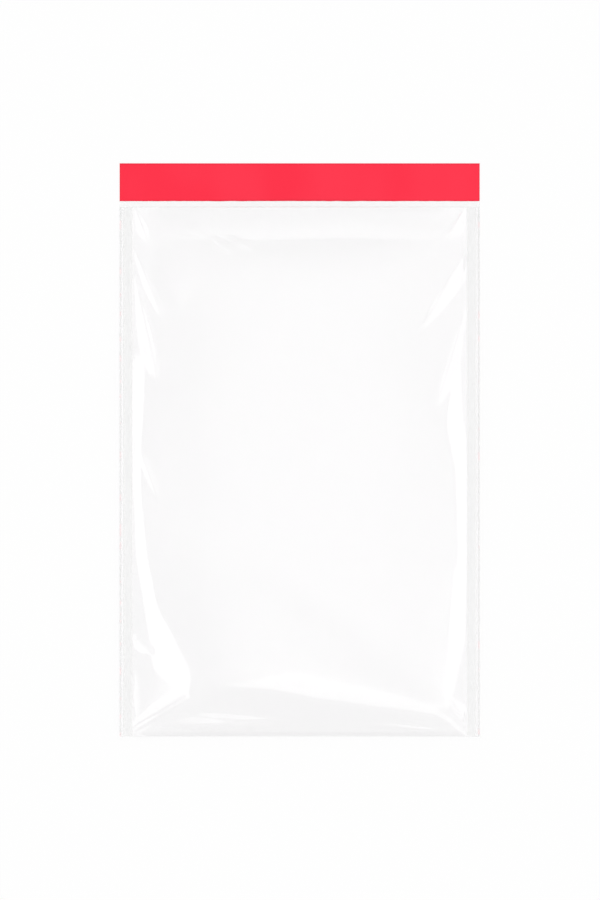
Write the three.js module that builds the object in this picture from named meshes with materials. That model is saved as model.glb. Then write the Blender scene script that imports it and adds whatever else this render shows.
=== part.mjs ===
// Self-seal bag of clear film, lying on its back and puffed with a little air.
// X runs across the bag, Y up its length to the flap, Z up from the table, all in millimetres.
import * as THREE from 'three';
import { mergeGeometries, mergeVertices } from 'three/addons/utils/BufferGeometryUtils.js';

// The sheet: folded across the bottom, welded down both sides, with a flap above the mouth
const bagWidth = 200;
const bagHeight = 294;
const flapHeight = 24.3;
const filmThickness = 0.04;
const weldWidth = 7;

// The red strip, flush with the flap's free edge, and the adhesive under it
const stripHeight = 21;
const stripThickness = 0.05;
const adhesiveHeight = 15;
const adhesiveThickness = 0.03;

// The crown: how high the front panel is puffed up, and how squarely it falls off to the welds and to its ends
const crownRise = 10;
const shoulderHeight = 1.2;
const bodySquareness = 2.8;
const mouthSquareness = 2;
const upperSquareness = 10;
const lowerSquareness = 24;

// Between these distances below the mouth, the shoulders beside the welds come in
const shoulderStart = 64;
const shoulderEnd = 109;

// Above the foot the front swells in a slanting facet, which eases off as it climbs, and then tips forward
const facetSlope = 0.135;
const facetRun = 100;
const facetRounding = 1.5;
const wedgeSlope = 0.12;

// The faces round the crown: the foot bulges, and the sides start with a low skirt
const footBulge = 0.85;
const skirtSlope = 0.2;
const hipSharpness = 8;

// The mouth's lip lies flatter than the body, above a crease
const lipHeight = 17.5;
const lipSlope = 0.12;

// How far the welds and the bottom fold stand off the table, and over what width the back comes down
const sideLift = 1.2;
const footLift = 1.2;
const liftRun = 35;
const mouthRun = 70;

// Creases are full height from this far inside the welds and the fold, and never narrower than the least reach
const creaseSettle = 2;
const creaseLeastReach = 0.01;

// Grid of the panels, crowded towards the welds, the fold and the mouth
const columnCount = 30;
const rowCount = 40;
const crowding = 0.75;

const filmColour = 0xf6f5f8;
const stripColour = 0xfc394e;
const adhesiveColour = 0xf3efe6;

const totalHeight = bagHeight + flapHeight;
const pocketHalf = bagWidth / 2 - weldWidth;
const { clamp, lerp, smoothstep } = THREE.MathUtils;

// Places across the pocket, and points on it, measured in from a weld and down from the mouth or up from the fold
const fromLeft = (inset) => inset - pocketHalf;
const fromRight = (inset) => pocketHalf - inset;
const topLeft = (inset, drop) => new THREE.Vector3(fromLeft(inset), bagHeight - drop, 0);
const topRight = (inset, drop) => new THREE.Vector3(fromRight(inset), bagHeight - drop, 0);
const bottomLeft = (inset, climb) => new THREE.Vector3(fromLeft(inset), climb, 0);
const bottomRight = (inset, climb) => new THREE.Vector3(fromRight(inset), climb, 0);

// Lines across the front: the slanting top of the facet, the ridge where it tips forward, and the foot's hip
const facetTop = [
  bottomLeft(0, 130),
  bottomLeft(18, 122),
  bottomLeft(77, 97),
  bottomRight(71, 70),
  bottomRight(32, 40),
  bottomRight(8, 15),
];
const facetRidge = [
  bottomLeft(0, 20),
  bottomLeft(33, 24),
  bottomLeft(55, 31),
  bottomRight(93, 36),
  bottomRight(37, 28),
  bottomRight(8, 15),
];
const footHip = [
  bottomLeft(0, 14),
  bottomLeft(32, 24),
  bottomLeft(55, 25),
  bottomRight(93, 21.5),
  bottomRight(31, 15),
  bottomRight(0, 9),
];

// Lines up the sides: where the skirt ends, and where the face above it meets the crown
const leftSkirt = [
  bottomLeft(26, 24),
  bottomLeft(15, 34),
  bottomLeft(11.5, 54),
  bottomLeft(4.5, 98),
  bottomLeft(1, 144),
];
const leftShoulder = [
  bottomLeft(31, 34),
  bottomLeft(22, 54),
  bottomLeft(15, 70),
  bottomLeft(10, 98),
  bottomLeft(6, 144),
];
const rightSkirt = [bottomRight(6, 20), bottomRight(5, 42), bottomRight(0.6, 70)];
const rightShoulder = [bottomRight(10, 20), bottomRight(14, 50), bottomRight(8, 75), bottomRight(5, 98)];

// Creases in the front: fans that spread from the lip's ends, a pinched fold at each bottom corner, and a wrinkle
// along the foot. Each is a leaf, widest at a share of its length.
const creases = [
  { from: topLeft(0, 17), to: topLeft(19, 65), reach: 4, rise: 1.4, widest: 0.45 },
  { from: topLeft(0.5, 36), to: topLeft(15, 97), reach: 5, rise: 2, widest: 0.62 },
  { from: topLeft(3, 21), to: topLeft(48, 55), reach: 12, rise: 0.8, widest: 0.65 },
  { from: topLeft(0, 0), to: topLeft(9, 20), reach: 3.5, rise: 1.5, widest: 0.6 },
  { from: topRight(0, 19), to: topRight(37, 84), reach: 5.5, rise: 2.4, widest: 0.3 },
  { from: topRight(0, 53), to: topRight(16, 109), reach: 4.5, rise: 2, widest: 0.65 },
  { from: topRight(0, 1), to: topRight(11, 19), reach: 3.7, rise: 1.7, widest: 0.65 },
  { from: bottomLeft(0, 4.5), to: bottomLeft(33, 25), reach: 4, rise: 1.7, widest: 0.55 },
  { from: bottomRight(0, 7), to: bottomRight(11, 22), reach: 3, rise: 1.6, widest: 0.6 },
  { from: bottomLeft(23, 10), to: bottomRight(79, 6.5), reach: 5, rise: 1.5, widest: 0.25 },
];

// Where a line has got to on one axis, for a place on the other. It runs level past its ends.
function follow(points, placeAxis, place, valueAxis) {
  const next = points.findIndex((point) => point[placeAxis] > place);
  if (next <= 0) {
    return points.at(next)[valueAxis];
  }
  const [start, end] = points.slice(next - 1, next + 1);
  const share = (place - start[placeAxis]) / (end[placeAxis] - start[placeAxis]);
  return lerp(start[valueAxis], end[valueAxis], share);
}

const climbAt = (points, x) => follow(points, 'x', x, 'y');
const insetAt = (points, climb) => pocketHalf - Math.abs(follow(points, 'y', climb, 'x'));

// How high the creases stand at a point: a leaf's height and width swell and fade together
function creaseRise(x, climb) {
  const point = new THREE.Vector3(x, climb, 0);
  const nearest = new THREE.Vector3();
  let height = 0;
  for (const { from, to, reach, rise, widest } of creases) {
    const line = new THREE.Line3(from, to);
    const along = line.closestPointToPointParameter(point, true);
    const swell = Math.sin(Math.PI * along ** (Math.log(0.5) / Math.log(widest)));
    const across = line.at(along, nearest).distanceTo(point) / Math.max(reach * swell, creaseLeastReach);
    height += rise * swell * Math.max(1 - across, 0);
  }
  return height;
}

// The top of the puffed front, over the whole pocket
function crown(x, climb) {
  const across = Math.min(Math.abs(x) / pocketHalf, 1);
  const along = climb / (bagHeight / 2) - 1;
  const body = smoothstep(bagHeight - climb, shoulderStart, shoulderEnd);
  const endSquareness = along > 0 ? upperSquareness : lowerSquareness;
  const arch = (1 - across ** lerp(mouthSquareness, bodySquareness, body)) * (1 - Math.abs(along) ** endSquareness);
  const facetRise = (run) => facetSlope * facetRun * (1 - Math.exp(-run / facetRun));
  const top = climbAt(facetTop, x);
  const ridge = climbAt(facetRidge, x);
  const wedge = facetRise(top - ridge) - wedgeSlope * (ridge - climb);
  const facet = Math.max(Math.min(facetRise(top - climb), wedge), 0);
  return shoulderHeight * body + crownRise * arch + facet * (1 - across * across) ** facetRounding;
}

// A side of the front: a low skirt at the weld, then a face that reaches the crown at its shoulder
function flank(inset, skirt, shoulder, crownThere) {
  const skirtRise = skirtSlope * skirt;
  const face = skirtRise + ((crownThere - skirtRise) * (inset - skirt)) / (shoulder - skirt);
  return Math.max(skirtSlope * inset, face);
}

// Free height between the panels: about the lowest of the crown and the faces round it
function freeHeight(x, climb) {
  const leftInset = pocketHalf + x;
  const rightInset = pocketHalf - x;
  const inset = Math.min(leftInset, rightInset, climb);
  if (inset <= 0) {
    return 0;
  }
  const level = Math.min(climb, bagHeight - lipHeight);
  const hip = climbAt(footHip, x);
  const left = insetAt(leftShoulder, climb);
  const right = insetAt(rightShoulder, climb);
  const faces = [
    crown(x, level),
    crown(x, hip) * (climb / hip) ** footBulge,
    flank(leftInset, insetAt(leftSkirt, climb), left, crown(fromLeft(left), level)),
    flank(rightInset, insetAt(rightSkirt, climb), right, crown(fromRight(right), level)),
  ];
  const sum = faces.reduce((total, face) => total + face ** -hipSharpness, 0);
  const lowest = sum ** (-1 / hipSharpness);
  const droop = lipSlope * (climb - level);
  const lip = (lowest * lowest) / (lowest + droop);
  return lip + creaseRise(x, climb) * Math.min(inset / creaseSettle, 1);
}

// Height of the back's underside: flat on the table, lifted towards the welds and the fold
function lie(x, climb) {
  const fromWeld = clamp((pocketHalf - Math.abs(x)) / liftRun, 0, 1);
  const fromFold = clamp(climb / liftRun, 0, 1);
  const towardsMouth = smoothstep(bagHeight - climb, 0, mouthRun);
  return Math.hypot(sideLift * towardsMouth * (1 - fromWeld) ** 2, footLift * (1 - fromFold) ** 2);
}

// The film's four faces, and the edges where whole layers of film are pressed together
const place = (x, climb, z) => new THREE.Vector3(x, climb - totalHeight / 2, z);
const layers = (count) => (x, climb) => place(x, climb, lie(x, climb) + count * filmThickness);
const frontFace = (x, climb) => place(x, climb, lie(x, climb) + 2 * filmThickness + freeHeight(x, climb));
const insideFold = (climb) => Math.max(climb, filmThickness);
const frontInside = (x, climb) =>
  place(x, insideFold(climb), lie(x, climb) + filmThickness + freeHeight(x, climb));
const backInside = (x, climb) => place(x, insideFold(climb), lie(x, climb) + filmThickness);

// Steps from one value to another, closer together at both ends
function crowded(low, high, count) {
  const middle = (low + high) / 2;
  const half = (high - low) / 2;
  return Array.from({ length: count + 1 }, (_, index) => {
    const even = (2 * index) / count - 1;
    return middle + half * lerp(even, Math.sin((even * Math.PI) / 2), crowding);
  });
}

// A plane laid out on a grid of points. It faces up where its rows run from the mouth towards the fold.
function patch(across, along, at) {
  const geometry = new THREE.PlaneGeometry(1, 1, across.length - 1, along.length - 1);
  const position = geometry.getAttribute('position');
  along.forEach((row, rowIndex) => {
    across.forEach((column, columnIndex) => {
      const { x, y, z } = at(column, row);
      position.setXYZ(rowIndex * across.length + columnIndex, x, y, z);
    });
  });
  geometry.deleteAttribute('normal');
  geometry.deleteAttribute('uv');
  return geometry;
}

// The same plane seen from behind, with its squares split the same way, so that a wall keeps its thickness
function turned(geometry) {
  geometry.getIndex().array.reverse();
  return geometry;
}

function filmGeometry() {
  const inner = crowded(-pocketHalf, pocketHalf, columnCount);
  const outer = [-bagWidth / 2, ...inner, bagWidth / 2];
  const rows = crowded(0, bagHeight, rowCount).reverse();
  const flapRows = [totalHeight, bagHeight];
  const sheetRows = [totalHeight, ...rows];
  const side = (x, rowList, levels) => patch(rowList, levels, (climb, level) => layers(level)(x, climb));
  const geometry = mergeGeometries([
    patch(outer, rows, frontFace),
    turned(patch(inner, rows, frontInside)),
    patch(inner, rows, backInside),
    turned(patch(outer, sheetRows, layers(0))),
    patch(outer, flapRows, layers(1)),
    patch(outer, [frontInside, frontFace], (x, face) => face(x, bagHeight)),
    patch(outer, [0, 1], (x, level) => layers(level)(x, totalHeight)),
    patch(outer, [2, 1, 0], (x, level) => layers(level)(x, 0)),
    side(-bagWidth / 2, rows, [2, 1, 0]),
    side(-bagWidth / 2, flapRows, [1, 0]),
    side(bagWidth / 2, rows, [0, 1, 2]),
    side(bagWidth / 2, flapRows, [0, 1]),
  ]);
  const film = mergeVertices(geometry);
  film.computeVertexNormals();
  return film;
}

// A flat band across the flap, lying on what is below it
function bandGeometry(height, thickness, centreClimb, base) {
  const band = new THREE.BoxGeometry(bagWidth, height, thickness);
  return band.translate(0, centreClimb - totalHeight / 2, base + thickness / 2);
}

const filmMaterial = new THREE.MeshStandardMaterial({
  color: filmColour,
  roughness: 0.08,
  metalness: 0,
  transparent: true,
  opacity: 0.25,
});
const stripMaterial = new THREE.MeshStandardMaterial({ color: stripColour, roughness: 0.4, metalness: 0 });
const adhesiveMaterial = new THREE.MeshStandardMaterial({
  color: adhesiveColour,
  roughness: 0.5,
  metalness: 0,
  transparent: true,
  opacity: 0.4,
});

function namedMesh(name, geometry, material) {
  const mesh = new THREE.Mesh(geometry, material);
  mesh.name = name;
  return mesh;
}

const stripCentre = totalHeight - stripHeight / 2;
const adhesiveTop = filmThickness + adhesiveThickness;

const bag = new THREE.Group();
bag.add(
  namedMesh('film_bag', filmGeometry(), filmMaterial),
  namedMesh(
    'adhesive_band',
    bandGeometry(adhesiveHeight, adhesiveThickness, stripCentre, filmThickness),
    adhesiveMaterial,
  ),
  namedMesh('release_strip', bandGeometry(stripHeight, stripThickness, stripCentre, adhesiveTop), stripMaterial),
);

export default bag;
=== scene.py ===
import math

import bpy
import numpy as np
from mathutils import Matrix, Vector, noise


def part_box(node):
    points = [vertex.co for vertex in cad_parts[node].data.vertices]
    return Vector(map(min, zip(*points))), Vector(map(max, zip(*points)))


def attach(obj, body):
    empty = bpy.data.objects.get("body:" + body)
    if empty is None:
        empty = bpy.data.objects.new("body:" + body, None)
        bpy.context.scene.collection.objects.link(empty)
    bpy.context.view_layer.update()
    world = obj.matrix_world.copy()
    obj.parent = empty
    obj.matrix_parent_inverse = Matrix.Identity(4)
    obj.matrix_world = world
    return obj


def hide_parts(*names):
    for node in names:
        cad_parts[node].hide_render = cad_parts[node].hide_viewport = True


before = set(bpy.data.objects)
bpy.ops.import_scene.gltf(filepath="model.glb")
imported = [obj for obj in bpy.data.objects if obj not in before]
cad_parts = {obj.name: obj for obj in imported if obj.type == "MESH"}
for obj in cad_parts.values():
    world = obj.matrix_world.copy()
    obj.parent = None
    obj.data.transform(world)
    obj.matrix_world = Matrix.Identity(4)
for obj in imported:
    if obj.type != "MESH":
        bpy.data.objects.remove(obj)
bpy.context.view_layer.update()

mm = 0.001
tiny = 0.001  # keeps divisions away from zero

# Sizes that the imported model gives, in millimetres: x across, climb up from the bottom fold
filmLow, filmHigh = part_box("film_bag")
stripLow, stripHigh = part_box("release_strip")
bandLow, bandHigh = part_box("adhesive_band")
bagWidth = (filmHigh.x - filmLow.x) / mm
totalHeight = (filmHigh.y - filmLow.y) / mm
foldY = filmLow.y / mm


# Shader maths: a wire is an output socket that can be used in sums as a number is
class Wire:
    def __init__(self, socket):
        self.socket = socket

    def sum(self, operation, first, second):
        nodes = Nodes(self.socket.id_data)
        return nodes.add("ShaderNodeMath", 0, {"operation": operation}, {0: first, 1: second})

    def __add__(self, other):
        return self.sum("ADD", self, other)

    def __radd__(self, other):
        return self.sum("ADD", other, self)

    def __sub__(self, other):
        return self.sum("SUBTRACT", self, other)

    def __rsub__(self, other):
        return self.sum("SUBTRACT", other, self)

    def __mul__(self, other):
        return self.sum("MULTIPLY", self, other)

    def __rmul__(self, other):
        return self.sum("MULTIPLY", other, self)

    def __truediv__(self, other):
        return self.sum("DIVIDE", self, other)

    def __pow__(self, other):
        return self.sum("POWER", self, other)

    def __abs__(self):
        return self.sum("ABSOLUTE", self, 0)


class Nodes:
    def __init__(self, tree):
        self.tree = tree

    def add(self, kind, output, settings=None, sockets=None):  # any node: its type, settings and sockets
        node = self.tree.nodes.new(kind)
        for name, value in (settings or {}).items():
            setattr(node, name, value)
        for name, value in (sockets or {}).items():
            if isinstance(value, Wire):
                self.tree.links.new(value.socket, node.inputs[name])
            else:
                node.inputs[name].default_value = value
        return Wire(node.outputs[output])

    def blend(self, factor, first, second):  # two colours
        return self.add("ShaderNodeMix", 2, {"data_type": "RGBA"}, {0: factor, 6: first, 7: second})

    def step(self, value, low, high):  # a soft step from 0 at low to 1 at high
        settings = {"interpolation_type": "SMOOTHSTEP"}
        sockets = {"Value": value, "From Min": low, "From Max": high}
        return self.add("ShaderNodeMapRange", 0, settings, sockets)

    def past(self, value, place, blur):  # 0 before a place and 1 past it, turned round by a negative blur
        return self.step(value, place - blur, place + blur)

    def place(self):  # x, y and z on the piece, in millimetres
        coordinates = self.add("ShaderNodeTexCoord", "Object")
        split = self.add("ShaderNodeSeparateXYZ", 0, None, {0: coordinates}).socket.node
        return [Wire(output) / mm for output in split.outputs]

    def mottle(self, size, detail=2, stretch=(1, 1, 1), turn=0):  # soft patches, the size in millimetres
        coordinates = self.add("ShaderNodeTexCoord", "Object")
        turned = self.add("ShaderNodeMapping", 0, None, {
            "Vector": coordinates,
            "Rotation": (0, 0, math.radians(turn)),
            "Scale": [part / (size * mm) for part in stretch],
        })
        return self.add("ShaderNodeTexNoise", 0, None, {"Vector": turned, "Scale": 1, "Detail": detail})

    def bump(self, height, depth):  # the depth is in millimetres
        sockets = {"Height": height, "Strength": 1, "Distance": depth * mm}
        return self.add("ShaderNodeBump", "Normal", None, sockets)


def newFinish(name, sockets):
    material = bpy.data.materials.new(name)
    material.use_nodes = True
    shader = material.node_tree.nodes["Principled BSDF"]
    for socket, value in sockets.items():
        shader.inputs[socket].default_value = value
    return material, Nodes(material.node_tree), shader


def plug(nodes, wire, shader, socket):
    nodes.tree.links.new(wire.socket, shader.inputs[socket])


# Sheets: a flat grid is added, then every point is moved to where the sheet lies
def flatGrid(name, columns, rows):
    bpy.ops.object.select_all(action="DESELECT")
    bpy.ops.mesh.primitive_grid_add(x_subdivisions=len(columns) - 1, y_subdivisions=len(rows) - 1, size=1)
    sheet = bpy.context.active_object
    sheet.name = name
    sheet.data.name = name
    points = np.zeros(len(sheet.data.vertices) * 3)
    sheet.data.vertices.foreach_get("co", points)
    points = points.reshape(-1, 3)
    column = np.rint((points[:, 0] + 0.5) * (len(columns) - 1)).astype(int)
    row = np.rint((points[:, 1] + 0.5) * (len(rows) - 1)).astype(int)
    return sheet, np.asarray(columns)[column], np.asarray(rows)[row]


def laySheet(sheet, x, climb, z, thickness):  # millimetres in, a closed thin sheet out
    points = np.stack([x, climb + foldY, z], axis=1) * mm
    sheet.data.vertices.foreach_set("co", points.ravel())
    sheet.data.update()
    solid = sheet.modifiers.new("thickness", "SOLIDIFY")
    solid.thickness = thickness * mm
    solid.offset = 0
    bpy.ops.object.modifier_apply(modifier=solid.name)
    bpy.ops.object.shade_smooth()


def crowded(low, high, count, crowding):  # steps that lie closer together at both ends
    even = np.linspace(-1, 1, count + 1)
    eased = even + crowding * (np.sin(even * math.pi / 2) - even)
    return (low + high) / 2 + (high - low) / 2 * eased


def smoothMin(first, second, radius):
    overlap = np.maximum(radius - np.abs(first - second), 0)
    return np.minimum(first, second) - overlap ** 2 / (4 * radius)


def smoothMax(first, second, radius):
    return -smoothMin(-first, -second, radius)


def follow(points, at, rounding=6, samples=7):  # a line through chosen points, with its corners rounded off
    places, values = zip(*points)
    shifts = np.linspace(-rounding, rounding, samples)
    return sum(np.interp(at + shift, places, values) for shift in shifts) / samples


def ripple(x, climb, size, layer):  # soft unevenness from -1 to 1, another pattern for each layer
    return np.array([noise.noise((across / size, along / size, layer)) for across, along in zip(x, climb)])


# The bag's film: one sheet, folded at the bottom and welded down both sides. Lists give (climb or x, value).
film = {
    "thickness": 0.04,
    "weldWidth": 7,
    "weldGap": 0.02,
    "flapHeight": 24.3,
    "crownRise": [(100, 8.5), (185, 10)],
    "shoulderHeight": [(185, 1.2), (230, 0)],
    "crossPower": [(100, 2.2), (185, 2.4), (235, 2)],
    "upperPower": 7,
    "lowerPower": 24,
    "flankRadius": 0.5,
    "skirtRadius": 0.4,
    "facetSlope": 0.135,
    "facetRun": 100,
    "facetRadius": 1.4,
    "facetFade": 1.5,
    "wedgeSlope": 0.12,
    "wedgeRadius": 1.2,
    "facetTop": [(-93, 130), (-75, 122), (-16, 97), (22, 70), (61, 40), (85, 15), (93, 8)],
    "facetFoot": [(-93, 20), (-60, 30), (-40, 36), (0, 38), (28, 30), (56, 23.5), (78, 15), (93, 8)],
    "skirtSlope": [(60, 0.25), (90, 0.23)],
    "leftSkirt": [(27, 31), (31, 19), (36, 14), (54, 12.4), (65, 9.5), (98, 3.2), (144, 1), (189, 0.4)],
    "leftShoulder": [(24, 32), (34, 30), (54, 21), (70, 13), (98, 7.6), (131, 4.4), (154, 3.6), (200, 6)],
    "rightSkirt": [
        (14, 12.4), (22, 10), (43, 5.2), (61, 0.6), (164, 0.6),
        (178, 3.4), (216, 5), (230, 2.5), (262, 2.5), (275, 0.6),
    ],
    "rightShoulder": [
        (20, 11.4), (50, 13), (64, 12), (80, 8), (98, 4.5),
        (150, 5.5), (166, 10), (178, 10), (196, 7),
    ],
    "footHip": [(-98, 2), (-61, 25), (-38, 28), (-16, 26), (6, 21.3), (42, 15.6), (80, 11.3), (98, 2)],
    "hipRadius": [(-64, 3), (-36, 0.5)],
    "footBulge": 0.85,
    "lipLine": [(-93, 275.5), (-60, 276.5), (-20, 275.5), (30, 276.8), (70, 276), (86, 278), (93, 282)],
    "lipRadius": 1.0,
    "lipSag": 0.008,
    "curlLength": 3.6,
    "curlDrop": 0.9,
    "curlShare": 0.3,
    "creaseSettle": 2,
    "sideLift": 1.2,
    "footLift": 1.2,
    "liftRun": 35,
    "mouthRun": 70,
    "rippleSize": 24,
    "rippleHeight": 0.12,
    "rippleFade": 12,
    "rippleLayer": 0.3,
    "hingeWidth": 3.3,
    "hingeRise": 0.15,
    "flapWave": 0.3,
    "flapWaveSize": 42,
    "flapWaveStretch": 2,
    "flapWaveLayer": 5.7,
    "columns": 160,
    "columnCrowding": 0.7,
    "weldColumns": 3,
    "edgeColumn": 0.25,
    "frontRows": 230,
    "backRows": 40,
    "rowCrowding": 0.6,
    "hingeRows": 10,
    "flapRows": 8,
}

# Creases in the front: where each starts and ends, its reach to the left and right of that run, its rise,
# how far along it is widest, and how soft its ridge is
creases = [
    {"from": (-94, 276), "to": (-74.5, 229), "reach": (1.6, 2.8), "rise": 1.2, "widest": 0.55, "soft": 0.1},
    {"from": (-93, 262), "to": (-78.5, 197), "reach": (2.8, 5.5), "rise": 1.7, "widest": 0.65, "soft": 0.1},
    {"from": (-90, 236), "to": (-81, 197), "reach": (1.2, 1.4), "rise": 0.5, "widest": 0.6, "soft": 0.1},
    {"from": (-79, 272), "to": (-66, 236), "reach": (18.0, 11.0), "rise": 0.5, "widest": 0.55, "soft": 0.9},
    {"from": (-92.5, 296), "to": (-83.5, 273), "reach": (3.2, 3.4), "rise": 1.7, "widest": 0.6, "soft": 0.1},
    {"from": (-86, 292), "to": (-52, 276), "reach": (9.0, 4.5), "rise": 0.5, "widest": 0.6, "soft": 1},
    {"from": (-50, 279), "to": (-38, 268), "reach": (2.2, 2.4), "rise": 0.9, "widest": 0.5, "soft": 0.3},
    {"from": (-41, 278.5), "to": (-26, 270), "reach": (2.2, 2.4), "rise": 0.8, "widest": 0.5, "soft": 0.3},
    {"from": (-89, 160), "to": (-76, 126), "reach": (2.4, 2.4), "rise": 0.45, "widest": 0.4, "soft": 0.5},
    {"from": (-92.5, 56), "to": (-79.5, 46), "reach": (0.8, 4.0), "rise": 1.6, "widest": 0.4, "soft": 0.1},
    {"from": (-91, 42), "to": (-89.8, 10), "reach": (1.0, 1.3), "rise": 0.5, "widest": 0.65, "soft": 0.1},
    {"from": (-99, 2), "to": (-60, 25.5), "reach": (4.0, 1.1), "rise": 1.9, "widest": 0.6, "soft": 0.1},
    {"from": (-98, -0.5), "to": (-61, 22.5), "reach": (2.2, 1.4), "rise": 1.1, "widest": 0.55, "soft": 0.1},
    {"from": (85.5, 96), "to": (80, 20), "reach": (9.0, 12.0), "rise": 1.0, "widest": 0.5, "soft": 0.3},
    {"from": (82.5, 22), "to": (98, 0.5), "reach": (4.5, 1.0), "rise": 1.5, "widest": 0.5, "soft": 0.1},
    {"from": (86.5, 16), "to": (95.5, 3.5), "reach": (0.8, 0.8), "rise": 0.35, "widest": 0.5, "soft": 0.2},
    {"from": (98, 280), "to": (64, 221), "reach": (7.4, 1.0), "rise": 2.6, "widest": 0.4, "soft": 0.1},
    {"from": (92.5, 266), "to": (86, 253), "reach": (0.8, 0.8), "rise": 0.35, "widest": 0.5, "soft": 0.2},
    {"from": (94.5, 246), "to": (75.5, 182), "reach": (5.2, 1.4), "rise": 1.9, "widest": 0.65, "soft": 0.1},
    {"from": (93.5, 297), "to": (80.5, 274.5), "reach": (6.0, 1.4), "rise": 2.4, "widest": 0.6, "soft": 0.1},
    {"from": (92, 288), "to": (88.5, 281), "reach": (0.7, 0.7), "rise": 0.3, "widest": 0.5, "soft": 0.2},
    {"from": (-62, 12.5), "to": (14, 7.2), "reach": (1.4, 2.6), "rise": 0.65, "widest": 0.4, "soft": 0.2},
    {"from": (-70, 7), "to": (-8, 6.5), "reach": (6.0, 7.0), "rise": 1.7, "widest": 0.4, "soft": 0.8},
    {"from": (33, 7.5), "to": (82, 3), "reach": (1.4, 2.0), "rise": 0.6, "widest": 0.5, "soft": 0.3},
]

pocketHalf = bagWidth / 2 - film["weldWidth"]
bagHeight = totalHeight - film["flapHeight"]
middle = bagHeight / 2


def facetRise(run):  # the low facet's slope eases off as it climbs to the front
    return film["facetSlope"] * film["facetRun"] * (1 - np.exp(-run / film["facetRun"]))


def crown(x, climb):  # the top of the puffed front panel, with the facet and bright wedge above the foot
    along = np.clip((climb - middle) / middle, -1, 1)
    across = np.minimum(np.abs(x) / pocketHalf, 1)
    power = np.where(along > 0, film["upperPower"], film["lowerPower"])
    arch = (1 - across ** follow(film["crossPower"], climb)) * (1 - np.abs(along) ** power)
    top = follow(film["facetTop"], x)
    foot = np.minimum(follow(film["facetFoot"], x), top)
    wedge = facetRise(top - foot) - film["wedgeSlope"] * (foot - climb)
    facet = smoothMin(facetRise(top - climb), wedge, film["wedgeRadius"])
    facet = smoothMax(facet, np.zeros_like(facet), film["facetRadius"])
    facet = facet * (1 - across ** 2) ** film["facetFade"]
    return follow(film["shoulderHeight"], climb) + follow(film["crownRise"], climb) * arch + facet


def flank(inset, slope, skirt, shoulder, rise):  # a low skirt, then a face that rises to the shoulder
    low = slope * skirt
    steep = np.maximum((rise - low) / (shoulder - skirt), slope)
    return smoothMax(slope * inset, low + steep * (inset - skirt), film["skirtRadius"])


def creaseRise(x, climb):  # each crease is a leaf: its height and width swell and fade together
    height = np.zeros_like(x)
    for crease in creases:
        startX, startClimb = crease["from"]
        runX = crease["to"][0] - startX
        runClimb = crease["to"][1] - startClimb
        length = math.hypot(runX, runClimb)
        along = ((x - startX) * runX + (climb - startClimb) * runClimb) / length ** 2
        side = ((climb - startClimb) * runX - (x - startX) * runClimb) / length
        power = math.log(0.5) / math.log(crease["widest"])
        swell = np.sin(math.pi * np.clip(along, 0, 1) ** power)
        reach = np.where(side > 0, crease["reach"][0], crease["reach"][1]) * np.maximum(swell, tiny)
        tent = np.clip(1 - np.abs(side) / reach, 0, 1)
        rounded = tent * tent * (3 - 2 * tent)
        height += crease["rise"] * swell * (tent + crease["soft"] * (rounded - tent))
    return height


def freeHeight(x, climb):  # how far the front panel stands off the back
    fromLeft = np.maximum(pocketHalf + x, 0)
    fromRight = np.maximum(pocketHalf - x, 0)
    level = smoothMin(climb, follow(film["lipLine"], x), film["lipRadius"])
    leftShoulder = follow(film["leftShoulder"], climb)
    rightShoulder = follow(film["rightShoulder"], climb)
    slope = follow(film["skirtSlope"], climb)
    hip = follow(film["footHip"], x)
    leftRise = crown(leftShoulder - pocketHalf, level)
    rightRise = crown(pocketHalf - rightShoulder, level)
    foot = crown(x, hip) * np.maximum(climb / hip, 0) ** film["footBulge"]
    leftFlank = flank(fromLeft, slope, follow(film["leftSkirt"], climb), leftShoulder, leftRise)
    rightFlank = flank(fromRight, slope, follow(film["rightSkirt"], climb), rightShoulder, rightRise)
    height = smoothMin(crown(x, level), foot, follow(film["hipRadius"], x))
    height = smoothMin(height, leftFlank, film["flankRadius"])
    height = smoothMin(height, rightFlank, film["flankRadius"])
    height = np.maximum(height, 0)
    droop = film["lipSag"] * (climb - level) ** 2
    height -= droop * height / (height + droop + tiny)
    inset = np.minimum(np.minimum(fromLeft, fromRight), climb)
    height += creaseRise(x, climb) * np.clip(inset / film["creaseSettle"], 0, 1)
    fade = np.clip(np.minimum(inset, bagHeight - climb) / film["rippleFade"], 0, 1)
    height += film["rippleHeight"] * ripple(x, climb, film["rippleSize"], film["rippleLayer"]) * fade ** 2
    curl = np.clip((climb - bagHeight) / film["curlLength"] + 1, 0, 1) ** 2
    return height - np.minimum(film["curlDrop"], height * film["curlShare"]) * curl


def lie(x, climb):  # the back is flat on the table and lifts towards the welds and the fold
    fromWeld = np.clip((pocketHalf - np.abs(x)) / film["liftRun"], 0, 1)
    fromFold = np.clip(climb / film["liftRun"], 0, 1)
    toMouth = np.clip((bagHeight - climb) / film["mouthRun"], 0, 1)
    side = film["sideLift"] * toMouth ** 2 * (3 - 2 * toMouth) * (1 - fromWeld) ** 2
    return np.hypot(side, film["footLift"] * (1 - fromFold) ** 2)


def flapLift(x, climb):  # the ridge that the flap folds along, and waves that what lies on it follows
    run = np.clip((climb - bagHeight) / film["flapHeight"], 0, 1)
    hinge = np.clip((climb - bagHeight) / film["hingeWidth"], 0, 1)
    uneven = ripple(x, climb / film["flapWaveStretch"], film["flapWaveSize"], film["flapWaveLayer"])
    waves = film["flapWave"] * run * (0.5 + 0.5 * uneven)
    return film["hingeRise"] * np.sin(math.pi * hinge) ** 2 + waves


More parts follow.
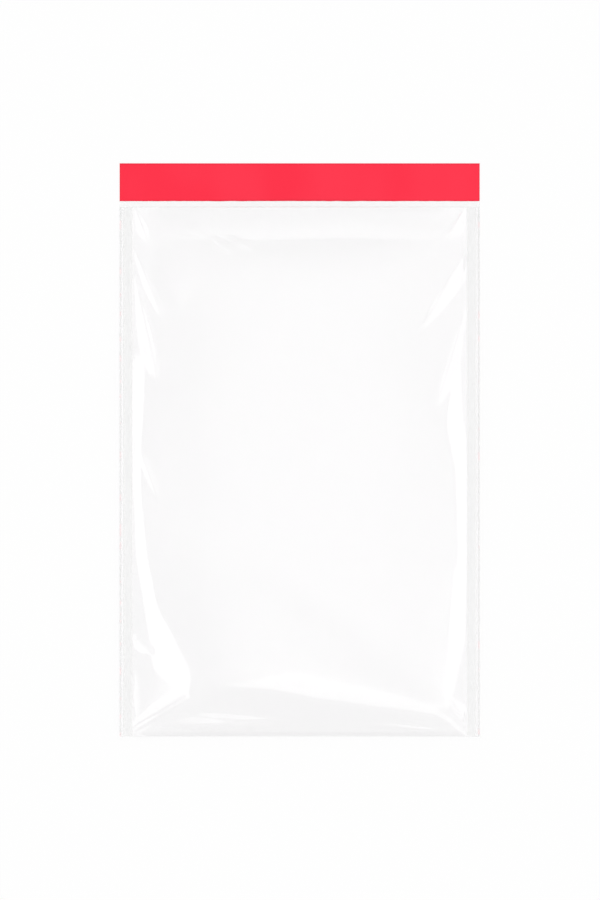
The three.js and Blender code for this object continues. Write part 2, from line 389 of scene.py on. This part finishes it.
def makeFilm():
    inner = crowded(-pocketHalf, pocketHalf, film["columns"], film["columnCrowding"])
    weld = np.linspace(0, film["weldWidth"] - film["edgeColumn"], film["weldColumns"] + 1)[1:]
    weld = np.append(weld, film["weldWidth"])
    columns = np.concatenate([(-pocketHalf - weld)[::-1], inner, pocketHalf + weld])
    turn = (film["thickness"] + film["weldGap"]) / 2
    frontRows = crowded(turn, bagHeight, film["frontRows"], film["rowCrowding"])
    backRows = crowded(turn, bagHeight, film["backRows"], film["rowCrowding"])
    hingeTop = bagHeight + film["hingeWidth"]
    hingeRows = np.linspace(bagHeight, hingeTop, film["hingeRows"] + 1)[1:]
    flapRows = np.concatenate([hingeRows, np.linspace(hingeTop, totalHeight, film["flapRows"] + 1)[1:]])
    # along the sheet: the flap and back count below zero, the front above
    rows = np.concatenate([-flapRows[::-1], -backRows[::-1], [0], frontRows])
    sheet, x, along = flatGrid("film_bag_sheet", columns, rows)
    climb = np.abs(along)
    base = lie(x, climb) + flapLift(x, climb) + film["thickness"] / 2
    front = base + 2 * turn + freeHeight(x, climb)
    z = np.where(along > 0, front, np.where(along < 0, base, base + turn))
    laySheet(sheet, x, climb, z, film["thickness"])
    return sheet


filmSheet = makeFilm()
print("film:", len(filmSheet.data.polygons), "faces")

# How clear film looks: it mirrors a little, more where it turns away, and its welds are hazy
clearFilm = {
    "refraction": 1.5,
    "tint": (0.975, 0.962, 0.972, 1),
    "mirrorShare": 0.1,
    "turnPower": 5,
    "roughness": 0.1,
    "unevenSize": 9,
    "unevenDepth": 0.03,
    "unevenRoughness": 0.04,
    "weldTint": (0.91, 0.91, 0.91, 1),
    "weldHaze": 0.016,
    "weldDullness": 0.85,
    "weldRoughness": 0.3,
    "weldBlur": 0.4,
    "flapTint": (0.8, 0.8, 0.8, 1),
    "mouthBlur": 0.3,
    "edgeTint": (0.78, 0.78, 0.78, 1),
    "edgeWidth": 1.1,
    "edgeBlur": 0.3,
    "clearWidth": 0.9,
    "clearShare": 0.7,
    "clearBlur": 0.2,
    "cornerHeight": 9,
    "cornerHaze": 0.012,
    "cornerBlur": 1,
    "speckTint": (0.95, 0.66, 0.68, 1),
    "speckLength": 8,
    "speckStretch": (0.01, 1, 0.01),
    "speckLevel": (0.59, 0.61),
    "speckLean": 0.04,
    "speckCorner": 0.06,
}


def filmFinish():
    material, nodes, shader = newFinish("clear film", {"IOR": clearFilm["refraction"]})
    x, y = nodes.place()[:2]
    climb = y - foldY
    edge = bagWidth / 2 - clearFilm["edgeWidth"]
    seal = edge - clearFilm["clearWidth"]
    cornerFoot = bagHeight - clearFilm["cornerHeight"]
    side = nodes.past(abs(x), pocketHalf, clearFilm["weldBlur"])
    below = nodes.past(climb, bagHeight, -clearFilm["mouthBlur"])
    rim = nodes.step(abs(x), edge, edge + clearFilm["edgeBlur"]) * below
    # a clear line runs between the weld and the cut edge
    clearLine = nodes.past(abs(x), seal, clearFilm["clearBlur"])
    clearLine = clearLine * nodes.past(abs(x), edge, -clearFilm["clearBlur"])
    haze = (1 - below * (1 - side)) * (1 - clearFilm["clearShare"] * clearLine * below)
    corner = nodes.step(x, pocketHalf, pocketHalf + clearFilm["cornerBlur"])
    corner = corner * nodes.past(climb, cornerFoot, clearFilm["cornerBlur"]) * below
    # faint red specks on the cut edges, more of them on the left and at the mouth's right corner
    patches = nodes.mottle(clearFilm["speckLength"], detail=1, stretch=clearFilm["speckStretch"])
    patches = patches - x / bagWidth * clearFilm["speckLean"] + clearFilm["speckCorner"] * corner
    specks = nodes.step(patches, *clearFilm["speckLevel"]) * rim
    facing = nodes.add("ShaderNodeLayerWeight", "Facing", None, {"Blend": 0.5})  # 0 face on, 1 edge on
    mirror = clearFilm["mirrorShare"] + (1 - clearFilm["mirrorShare"]) * facing ** clearFilm["turnPower"]
    cover = mirror + clearFilm["weldHaze"] * haze + clearFilm["cornerHaze"] * corner
    uneven = nodes.mottle(clearFilm["unevenSize"])
    rough = clearFilm["roughness"] + clearFilm["unevenRoughness"] * (uneven - 0.5)
    rough = rough + clearFilm["weldRoughness"] * haze
    tint = nodes.blend(haze, clearFilm["tint"], clearFilm["weldTint"])
    tint = nodes.blend(below, clearFilm["flapTint"], tint)
    tint = nodes.blend(rim, tint, clearFilm["edgeTint"])
    tint = nodes.blend(specks, tint, clearFilm["speckTint"])
    plug(nodes, tint, shader, "Base Color")
    plug(nodes, 1 - clearFilm["weldDullness"] * haze, shader, "Metallic")
    plug(nodes, rough, shader, "Roughness")
    plug(nodes, cover, shader, "Alpha")
    plug(nodes, nodes.bump(uneven, clearFilm["unevenDepth"]), shader, "Normal")
    return material


filmSheet.data.materials.append(filmFinish())

# The red strip and the adhesive under it: two bands with uneven lower edges
band = {
    "columns": 200,
    "rows": 16,
    "faceGap": 0.002,
    "raggedSize": 4,
    "ragged": 0.12,
    "raggedLayer": 2.5,
}


def makeBand(name, low, high):
    columns = np.linspace(low.x / mm, high.x / mm, band["columns"])
    bottom = low.y / mm - foldY
    top = high.y / mm - foldY
    sheet, x, climb = flatGrid(name, columns, np.linspace(bottom, top, band["rows"]))
    nearEdge = np.clip(1 - (climb - bottom) / band["raggedSize"], 0, 1)
    climb += band["ragged"] * nearEdge * ripple(x, np.zeros_like(x), band["raggedSize"], band["raggedLayer"])
    z = (low.z + high.z) / 2 / mm + flapLift(x, climb)
    laySheet(sheet, x, climb, z, (high.z - low.z) / mm - band["faceGap"])
    return sheet


stripSheet = makeBand("release_strip_sheet", stripLow, stripHigh)
bandSheet = makeBand("adhesive_band_sheet", bandLow, bandHigh)
print("strip and adhesive:", len(stripSheet.data.polygons), "faces each")

# The strip's finish: red with painted sheen, paler in soft waves and towards the right, and a fine grain
redStrip = {
    "gloss": 0.3,
    "colour": (0.915, 0.012, 0.045, 1),
    # painted sheen: a paler red laid in soft waves, with more of it to the right, standing in for the
    # strip's sheen
    "sheenPaintColour": (0.925, 0.019, 0.054, 1),
    "sheenPaintLevel": (0.35, 0.7),
    "sheenPaintLean": 0.35,
    "waveSize": 38,
    "waveStretch": (1, 0.7, 1),
    "waveTurn": 35,
    "grainSize": 1.2,
    "grainDepth": 0.006,
    "roughness": 0.38,
    "waveRoughness": 0.06,
    "grainRoughness": 0.04,
}


def stripFinish():
    material, nodes, shader = newFinish("red strip", {"Specular IOR Level": redStrip["gloss"]})
    x = nodes.place()[0]
    stretch = redStrip["waveStretch"]
    waves = nodes.mottle(redStrip["waveSize"], detail=1, stretch=stretch, turn=redStrip["waveTurn"])
    # painted sheen: the red turns paler in the waves and towards the right; the same waves also vary the
    # roughness
    paintedSheen = nodes.step(waves + x / bagWidth * redStrip["sheenPaintLean"], *redStrip["sheenPaintLevel"])
    grain = nodes.mottle(redStrip["grainSize"], detail=3)
    rough = redStrip["roughness"] + redStrip["waveRoughness"] * waves + redStrip["grainRoughness"] * grain
    plug(nodes, nodes.blend(paintedSheen, redStrip["colour"], redStrip["sheenPaintColour"]), shader, "Base Color")
    plug(nodes, rough, shader, "Roughness")
    plug(nodes, nodes.bump(grain, redStrip["grainDepth"]), shader, "Normal")
    return material


# The adhesive's finish: a thin cover, clotted and drawn out in streaks along the band
adhesive = {
    "colour": (0.86, 0.83, 0.73, 1),
    "clotColour": (0.93, 0.92, 0.86, 1),
    "clotSize": 2.5,
    "clotDepth": 0.01,
    "streakSize": 6,
    "streakStretch": (0.15, 1, 1),
    "roughness": 0.35,
    "clotRoughness": 0.3,
    "cover": 0.25,
    "streakCover": 0.3,
}


def adhesiveFinish():
    material, nodes, shader = newFinish("adhesive", {})
    clots = nodes.mottle(adhesive["clotSize"], detail=3)
    streaks = nodes.mottle(adhesive["streakSize"], stretch=adhesive["streakStretch"])
    plug(nodes, nodes.blend(clots, adhesive["colour"], adhesive["clotColour"]), shader, "Base Color")
    plug(nodes, adhesive["roughness"] + adhesive["clotRoughness"] * clots, shader, "Roughness")
    plug(nodes, adhesive["cover"] + adhesive["streakCover"] * streaks, shader, "Alpha")
    plug(nodes, nodes.bump(clots, adhesive["clotDepth"]), shader, "Normal")
    return material


stripSheet.data.materials.append(stripFinish())
bandSheet.data.materials.append(adhesiveFinish())

for piece, node, slot in [
    (filmSheet, "film_bag", "clear_film"),
    (stripSheet, "release_strip", "red_strip"),
    (bandSheet, "adhesive_band", "adhesive"),
]:
    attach(piece, "root")
    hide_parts(node)

print("pieces ride on the root body")

# Floor, world, lamps and camera. A lamp stands at its azimuth, tipped from overhead by its zenith angle.
studio = {
    "floorSize": 24,
    "floorDrop": 0.3 * mm,
    "floorGlow": 0.88,
    "floorColour": (0.875, 0.875, 0.875, 1),
    "skyBase": 0.775,
    "skyDome": 0.12,
    "domeHeight": (0.3, 0.85),
    "endDimming": 0.5,
    "endReach": (0.25, 0.7),
    "skyGlow": 0.255,
    "glowCentre": 0.04,
    "glowReach": (0.46, 0.36),
    "lampReach": 2.0,
    "lamps": [
        {"name": "left softbox", "azimuth": 180, "zenith": 52, "size": (1.75, 4.4), "radiance": 0.48},
        {"name": "right softbox", "azimuth": 0, "zenith": 52, "size": (1.75, 4.4), "radiance": 0.48},
        {"name": "front strip", "azimuth": -74, "zenith": 19, "size": (0.45, 1.5), "radiance": 0.26},
        {"name": "back softbox", "azimuth": 90, "zenith": 60, "size": (1.0, 3.0), "radiance": 0.1},
    ],
    "cameraHeight": 2.7778,
    "cameraShift": (0.2 * mm, -0.1 * mm),
    "lens": 200,
}


def makeFloor():
    bpy.ops.object.select_all(action="DESELECT")
    bpy.ops.mesh.primitive_plane_add(size=studio["floorSize"], location=(0, 0, -studio["floorDrop"]))
    floor = bpy.context.active_object
    floor.name = "floor"
    bpy.ops.object.transform_apply(location=True, rotation=True, scale=True)
    material = bpy.data.materials.new("pale floor")
    material.use_nodes = True
    nodes = Nodes(material.node_tree)
    nodes.tree.nodes.clear()
    path = nodes.add("ShaderNodeLightPath", "Is Camera Ray").socket.node
    seen = Wire(path.outputs["Is Camera Ray"]) + Wire(path.outputs["Is Glossy Ray"])
    seen = seen + Wire(path.outputs["Is Transmission Ray"])
    matt = nodes.add("ShaderNodeBsdfDiffuse", 0, None, {"Color": studio["floorColour"]})
    white = nodes.add("ShaderNodeEmission", 0, None, {"Color": (1, 1, 1, 1), "Strength": 1})
    mixed = nodes.add("ShaderNodeMixShader", 0, None, {0: seen * studio["floorGlow"], 1: matt, 2: white})
    output = nodes.tree.nodes.new("ShaderNodeOutputMaterial")
    plug(nodes, mixed, output, "Surface")
    floor.data.materials.append(material)


def makeWorld():  # a pale dome, dimmer to the front and back, with a soft glow overhead
    world = bpy.data.worlds.new("studio")
    world.use_nodes = True
    bpy.context.scene.world = world
    nodes = Nodes(world.node_tree)
    background = world.node_tree.nodes["Background"]
    background.inputs["Color"].default_value = (1, 1, 1, 1)
    direction = nodes.add("ShaderNodeTexCoord", "Generated")
    split = nodes.add("ShaderNodeSeparateXYZ", 0, None, {0: direction}).socket.node
    across, along, height = [Wire(output) for output in split.outputs]
    reachAcross, reachAlong = studio["glowReach"]
    offset = ((across - studio["glowCentre"]) / reachAcross) ** 2 + (along / reachAlong) ** 2
    ends = nodes.step(abs(along), *studio["endReach"])
    dome = nodes.step(height, *studio["domeHeight"]) * (1 - studio["endDimming"] * ends)
    level = studio["skyBase"] + studio["skyDome"] * dome + studio["skyGlow"] * nodes.step(offset, 1, 0)
    plug(nodes, level, background, "Strength")


def addLamps():
    for lamp in studio["lamps"]:
        azimuth = math.radians(lamp["azimuth"])
        zenith = math.radians(lamp["zenith"])
        away = (math.sin(zenith) * math.cos(azimuth), math.sin(zenith) * math.sin(azimuth), math.cos(zenith))
        bpy.ops.object.light_add(
            type="AREA",
            location=[part * studio["lampReach"] for part in away],
            rotation=(0, zenith, azimuth),
        )
        light = bpy.context.active_object
        light.name = lamp["name"]
        light.data.shape = "RECTANGLE"
        light.data.size, light.data.size_y = lamp["size"]
        light.data.energy = lamp["radiance"] * math.pi * lamp["size"][0] * lamp["size"][1]
        light.visible_camera = False


def addCamera():
    place = (*studio["cameraShift"], studio["cameraHeight"])
    bpy.ops.object.camera_add(location=place, rotation=(0, 0, 0))
    camera = bpy.context.active_object
    camera.data.lens = studio["lens"]
    bpy.context.scene.camera = camera


makeFloor()
makeWorld()
addLamps()
addCamera()
bpy.context.scene.view_settings.view_transform = "Standard"
print("studio is set")
